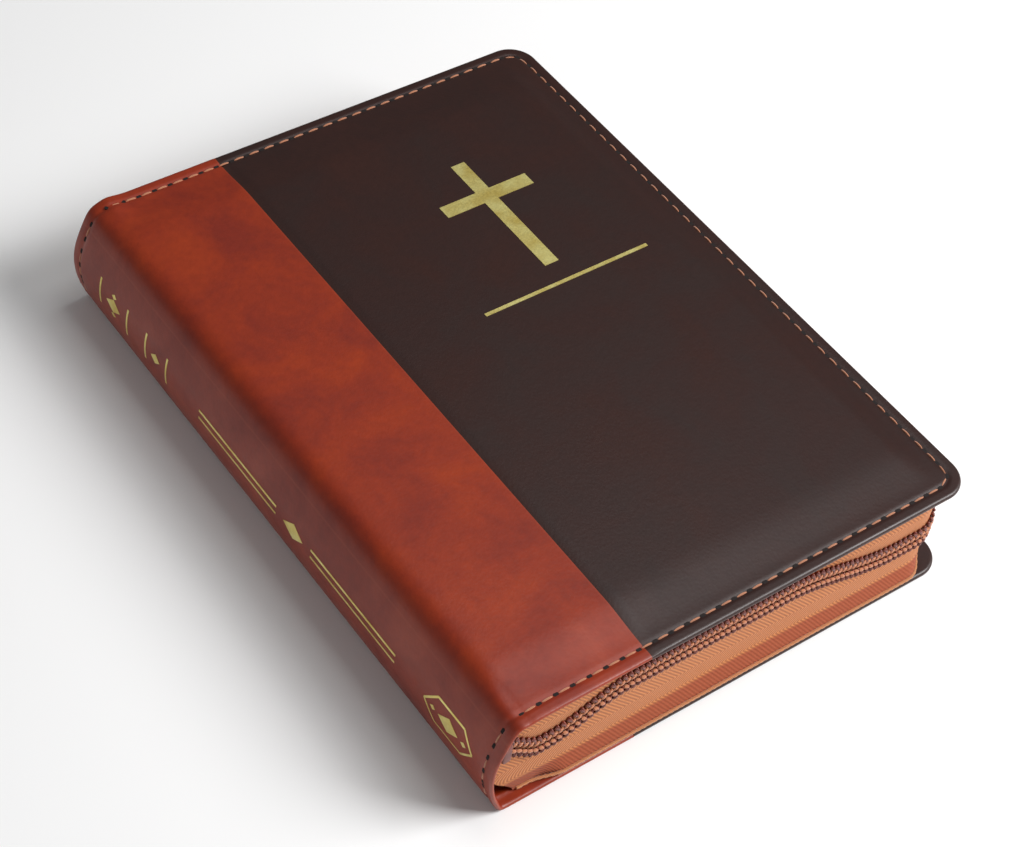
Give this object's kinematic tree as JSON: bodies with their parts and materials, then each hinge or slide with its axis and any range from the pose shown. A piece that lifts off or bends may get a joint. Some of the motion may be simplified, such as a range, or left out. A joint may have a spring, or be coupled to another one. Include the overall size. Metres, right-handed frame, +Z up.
{
  "type": "zip-round leather bible",
  "caption": "Leather Bible in a padded two-tone zip-round binding: covers and spine open flat, pages part at the gutter, zipper slider runs and its pull swings.",
  "frame": {"origin": "middle of the back cover's outer face, on the table, under the middle of the closed case", "axes": "+X from the spine to the fore-edge, +Y from the tail to the head, +Z up through the front cover"},
  "size_m": [0.1651, 0.2257, 0.0385],
  "materials": {
    "dark_leather": "satin",
    "tan_leather": "satin",
    "foam": "matte",
    "board": "matte",
    "lining": "matte",
    "endpaper": "matte",
    "paper": "matte",
    "cloth": "matte",
    "headband_silk": "satin",
    "ribbon_satin": "satin",
    "thread": "matte",
    "zip_tape": "matte",
    "zip_coil": "satin",
    "gilt_metal": "polished",
    "gold_foil": "satin"
  },
  "bodies": {
    "back_cover": {"back_cover_leather": "dark_leather", "back_spine_wrap": "tan_leather", "back_foam_pad": "foam", "back_board": "board", "back_lining": "lining", "back_pastedown": "endpaper", "back_stitching": "thread", "back_flyleaf": "endpaper", "pages_rear_lower": "paper", "mull_rear_lower": "cloth", "headbands_rear_lower": "headband_silk", "zipper_tape_back": "zip_tape", "zipper_coil_back": "zip_coil", "zipper_top_stop_back": "gilt_metal", "zipper_bottom_stop": "zip_coil"},
    "rear_pages": {"pages_rear_upper": "paper", "mull_rear_upper": "cloth", "headbands_rear_upper": "headband_silk", "ribbon_marker": "ribbon_satin"},
    "front_pages": {"pages_front_inner": "paper", "mull_front_inner": "cloth", "headbands_front_inner": "headband_silk"},
    "spine_rear": {"spine_leather_rear": "tan_leather", "spine_lining_rear": "lining", "spine_stitching_rear": "thread"},
    "spine_mid": {"spine_leather_mid": "tan_leather", "spine_lining_mid": "lining", "spine_stitching_mid": "thread", "spine_foil": "gold_foil"},
    "spine_front": {"spine_leather_front": "tan_leather", "spine_lining_front": "lining", "spine_stitching_front": "thread"},
    "front_cover": {"front_cover_leather": "dark_leather", "front_spine_wrap": "tan_leather", "front_foam_pad": "foam", "front_board": "board", "front_lining": "lining", "front_pastedown": "endpaper", "front_stitching": "thread", "front_foil": "gold_foil", "pages_front_outer": "paper", "mull_front_outer": "cloth", "headbands_front_outer": "headband_silk", "front_flyleaf": "endpaper", "zipper_tape_front": "zip_tape", "zipper_coil_front": "zip_coil", "zipper_top_stop_front": "gilt_metal"},
    "zipper_slider": {"slider_body": "gilt_metal"},
    "zipper_pull": {"pull_tab": "gilt_metal"}
  },
  "joints": [
    {"name": "book_open", "type": "hinge", "parent": "rear_pages", "child": "front_pages", "pos_m": [-0.07605, 0, 0.01855], "axis": [0, -1, 0], "range_deg": [0, 180]},
    {"name": "gutter_shift", "type": "slide", "parent": "back_cover", "child": "rear_pages", "axis": [-1, 0, 0], "range_m": [0, 0.01861]},
    {"name": "cover_shift", "type": "slide", "parent": "front_pages", "child": "front_cover", "axis": [1, 0, 0], "range_m": [0, 0.01861]},
    {"name": "spine_rear_fold", "type": "hinge", "parent": "back_cover", "child": "spine_rear", "pos_m": [-0.0755, 0, 0.001], "axis": [0, -1, 0], "range_deg": [0, 60]},
    {"name": "front_cover_fold", "type": "hinge", "parent": "front_cover", "child": "spine_front", "pos_m": [-0.0755, 0, 0.0361], "axis": [0, 1, 0], "range_deg": [0, 60]},
    {"name": "spine_high_fold", "type": "hinge", "parent": "spine_front", "child": "spine_mid", "pos_m": [-0.0815, 0, 0.02571], "axis": [0, 1, 0], "range_deg": [0, 30]},
    {"name": "slider_run", "type": "slide", "parent": "back_cover", "child": "zipper_slider", "axis": [1, 0, 0], "range_m": [0, 0.11]},
    {"name": "pull_swing", "type": "hinge", "parent": "zipper_slider", "child": "zipper_pull", "pos_m": [-0.0609, 0.11275, 0.026], "axis": [0, 0, 1], "range_deg": [0, 180]}
  ],
  "couplings": [
    {"joint": "gutter_shift", "follows": "book_open", "m_per_rad": 0.005923},
    {"joint": "cover_shift", "follows": "book_open", "m_per_rad": 0.005923},
    {"joint": "spine_rear_fold", "follows": "book_open", "ratio": 0.33333},
    {"joint": "front_cover_fold", "follows": "book_open", "ratio": 0.33333},
    {"joint": "spine_high_fold", "follows": "book_open", "ratio": 0.16667}
  ]
}
